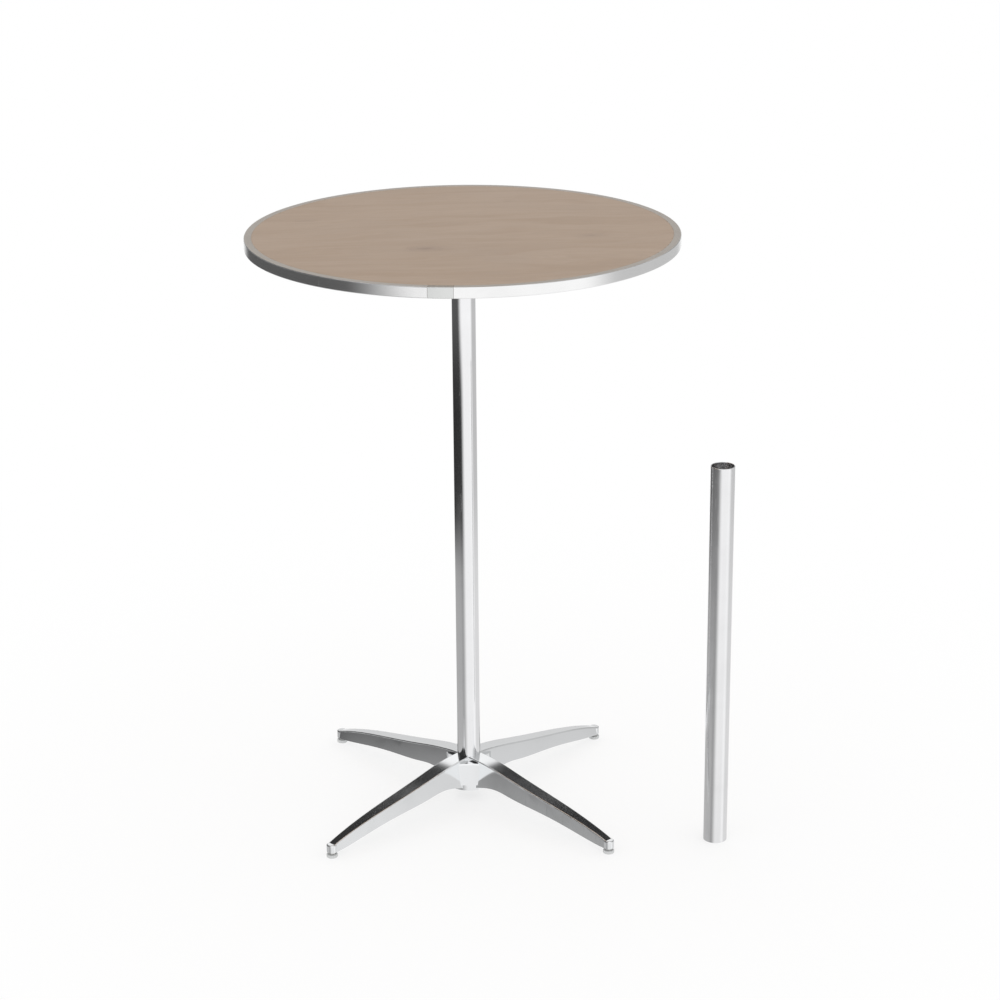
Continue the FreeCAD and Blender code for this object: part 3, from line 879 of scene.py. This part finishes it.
class TABLE_OT_stage(bpy.types.Operator):
    """Set the floor, the light and the camera"""
    bl_idname = "table.stage"
    bl_label = "Stage"

    def execute(self, context):
        self.floor()
        self.world(context.scene)
        self.camera(context.scene)
        context.scene.view_settings.view_transform = "Standard"
        return {"FINISHED"}

    def floor(self):
        """Pale round floor: fades into the backdrop, keeps the shadow and is clear from below."""
        clear()
        bpy.ops.mesh.primitive_circle_add(vertices=FLOOR_SIDES, radius=FLOOR_RADIUS,
                                          fill_type="NGON", location=(0, 0, 0))
        floor = bpy.context.object
        floor.name = "floor"
        place_mesh(floor)
        material, f = new_finish("pale_floor")
        x, y, _ = f.axes(f.coords())
        reach = (x * x + y * y) ** 0.5
        shade = f.node("ShaderNodeBsdfDiffuse", None, {"Color": WHITE})
        glow = f.node("ShaderNodeEmission", None, {"Color": WHITE, "Strength": 1.0})
        far = reach.span(*FLOOR_FADE) * FLOOR_FAR_GLOW + FLOOR_GLOW
        above = f.node("ShaderNodeMixShader", None, {0: far, 1: shade, 2: glow})
        under = f.node("ShaderNodeNewGeometry", out="Backfacing")
        clear_view = f.node("ShaderNodeBsdfTransparent")
        mixed = f.node("ShaderNodeMixShader", None, {0: under, 1: above, 2: clear_view})
        f.node("ShaderNodeOutputMaterial", None, {"Surface": mixed})
        give(floor, material)
        floor.visible_glossy = False

    def world(self, scene):
        """White dome for the eye and for soft light; metal mirrors dark and grey studio walls."""
        world = bpy.data.worlds.new("soft_studio")
        scene.world = world
        f = Finish(world)
        tone = self.studio(f)
        grey = f.node("ShaderNodeCombineColor", None, {0: tone, 1: tone, 2: tone})
        lamp = f.node("ShaderNodeBackground", None, {"Color": WHITE, "Strength": 1.0})
        studio = f.node("ShaderNodeBackground", None, {"Color": grey, "Strength": 1.0})
        mirrored = f.node("ShaderNodeLightPath", out="Is Glossy Ray")
        mixed = f.node("ShaderNodeMixShader", None, {0: mirrored, 1: lamp, 2: studio})
        f.node("ShaderNodeOutputWorld", None, {"Surface": mixed})

    def studio(self, f):
        """Tone of the studio in every direction, from black to white."""
        x, y, z = f.axes(f.node("ShaderNodeTexCoord", out="Generated"))
        bearing = f.node("ShaderNodeMath", {"operation": "ARCTAN2"}, {0: x, 1: y * -1.0})
        rise = f.node("ShaderNodeMath", {"operation": "ARCSINE"}, {0: z})
        turn, lift = bearing * math.degrees(1), rise * math.degrees(1)
        front, back = abs(turn).span(*FRONT_TURN), abs(turn).span(*BACK_TURN)
        below = lift.span(*BELOW_LIFT)
        left = (turn - below * BELOW_SHIFT).span(*LEFT_TURN) * turn.span(*LEFT_END)
        right = turn.between(RIGHT_TURN, RIGHT_END)
        wall = lift.between(WALL_FOOT, WALL_HEAD)
        strip = lift.between(STRIP_FOOT, STRIP_HEAD)
        high = lift.between(HIGH_FOOT, HIGH_HEAD)
        high_left = high * turn.between(HIGH_LEFT_TURN, HIGH_LEFT_END) * HIGH_LEFT_DARK
        high_right = high * turn.between(HIGH_RIGHT_TURN, HIGH_RIGHT_END) * HIGH_RIGHT_DARK
        left_tone = LEFT_DARK + below * LEFT_BELOW_DARK - strip * STRIP_PALE
        left_wall = (left * wall * left_tone).most(high_left)
        left_floor = left * lift.span(*LEFT_FLOOR_LIFT) * (
            LEFT_FLOOR_DARK - lift.span(*LEFT_FLOOR_NEAR) * LEFT_FLOOR_PALE)
        right_tone = lift.span(*RIGHT_FOOT) * RIGHT_WALL_DARK + RIGHT_DARK
        right_wall = (right * right_tone * lift.span(*WALL_HEAD)).most(high_right)
        near_floor = front * (lift.span(*NEAR_FLOOR_LIFT) * NEAR_FLOOR_DARK
                              + below * FRONT_BELOW_DARK)
        far_wall = back * lift.between(FAR_WALL_FOOT, FAR_WALL_HEAD) * FAR_WALL_DARK
        ceiling = back * lift.between(CEILING_FOOT, CEILING_HEAD) * CEILING_DARK
        tone = 1.0 - left_wall - left_floor - right_wall - near_floor - far_wall - ceiling
        return tone.most(STUDIO_BLACK)

    def camera(self, scene):
        """Camera at the picture's view."""
        data = bpy.data.cameras.new("camera")
        data.lens = CAMERA_LENS
        data.sensor_width = CAMERA_SENSOR
        data.clip_end = CAMERA_REACH
        camera = bpy.data.objects.new("camera", data)
        scene.collection.objects.link(camera)
        columns = [Vector(CAMERA_RIGHT), Vector(CAMERA_UP), -Vector(CAMERA_FORWARD)]
        turn = Matrix(columns).transposed().to_4x4()
        camera.matrix_world = Matrix.Translation(CAMERA_PLACE) @ turn
        scene.camera = camera


class TABLE_PT_pieces(bpy.types.Panel):
    """Panel that lists the pieces"""
    bl_idname = "TABLE_PT_pieces"
    bl_label = "Cocktail Table"
    bl_space_type = "VIEW_3D"
    bl_region_type = "UI"
    bl_category = "Table"

    def draw(self, context):
        for operator in OPERATORS:
            self.layout.operator(operator.bl_idname)
        for name in TableSizes.__annotations__:
            self.layout.prop(context.scene.table_sizes, name)
        for name in TableColours.__annotations__:
            self.layout.prop(context.scene.table_colours, name)


OPERATORS = (TABLE_OT_stage, TABLE_OT_top, TABLE_OT_band, TABLE_OT_plate, TABLE_OT_columns,
             TABLE_OT_base, TABLE_OT_clamp, TABLE_OT_glides)
CLASSES = (TableSizes, TableColours) + OPERATORS + (TABLE_PT_pieces,)


def register():
    for item in CLASSES:
        bpy.utils.register_class(item)
    bpy.types.Scene.table_sizes = PointerProperty(type=TableSizes)
    bpy.types.Scene.table_colours = PointerProperty(type=TableColours)


def unregister():
    del bpy.types.Scene.table_colours
    del bpy.types.Scene.table_sizes
    for item in reversed(CLASSES):
        bpy.utils.unregister_class(item)


def main():
    register()
    bpy.ops.table.stage()
    bpy.ops.table.top()
    bpy.ops.table.band()
    bpy.ops.table.plate()
    bpy.ops.table.columns()
    bpy.ops.table.base()
    bpy.ops.table.clamp()
    bpy.ops.table.glides()


if __name__ == "__main__":
    main()
